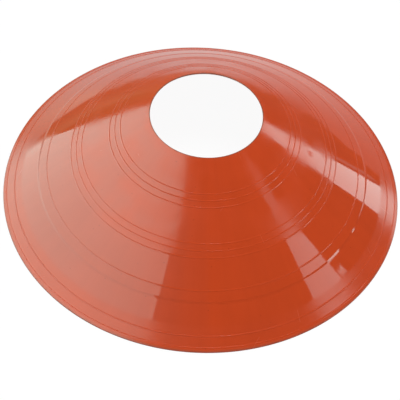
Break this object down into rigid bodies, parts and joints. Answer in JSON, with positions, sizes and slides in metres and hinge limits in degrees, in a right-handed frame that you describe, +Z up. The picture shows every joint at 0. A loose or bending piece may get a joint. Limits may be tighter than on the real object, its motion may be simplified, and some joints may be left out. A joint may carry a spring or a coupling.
{
  "type": "sports marker cone",
  "caption": "Low open disc cone of thin glossy orange plastic with a centre hole, laid on the ground to mark out a pitch; discs nest in a stack on a post.",
  "frame": {"origin": "middle of the circle that the rim stands on, at ground level", "axes": "+Z up along the cone's axis of turning, out through the centre hole; X and Y are alike"},
  "size_m": [0.19, 0.19, 0.055],
  "materials": {
    "orange_plastic": "smooth glossy moulded polyethylene, orange-red, coloured right through"
  },
  "bodies": {
    "root": {"marker_disc": "orange_plastic"}
  },
  "joints": []
}
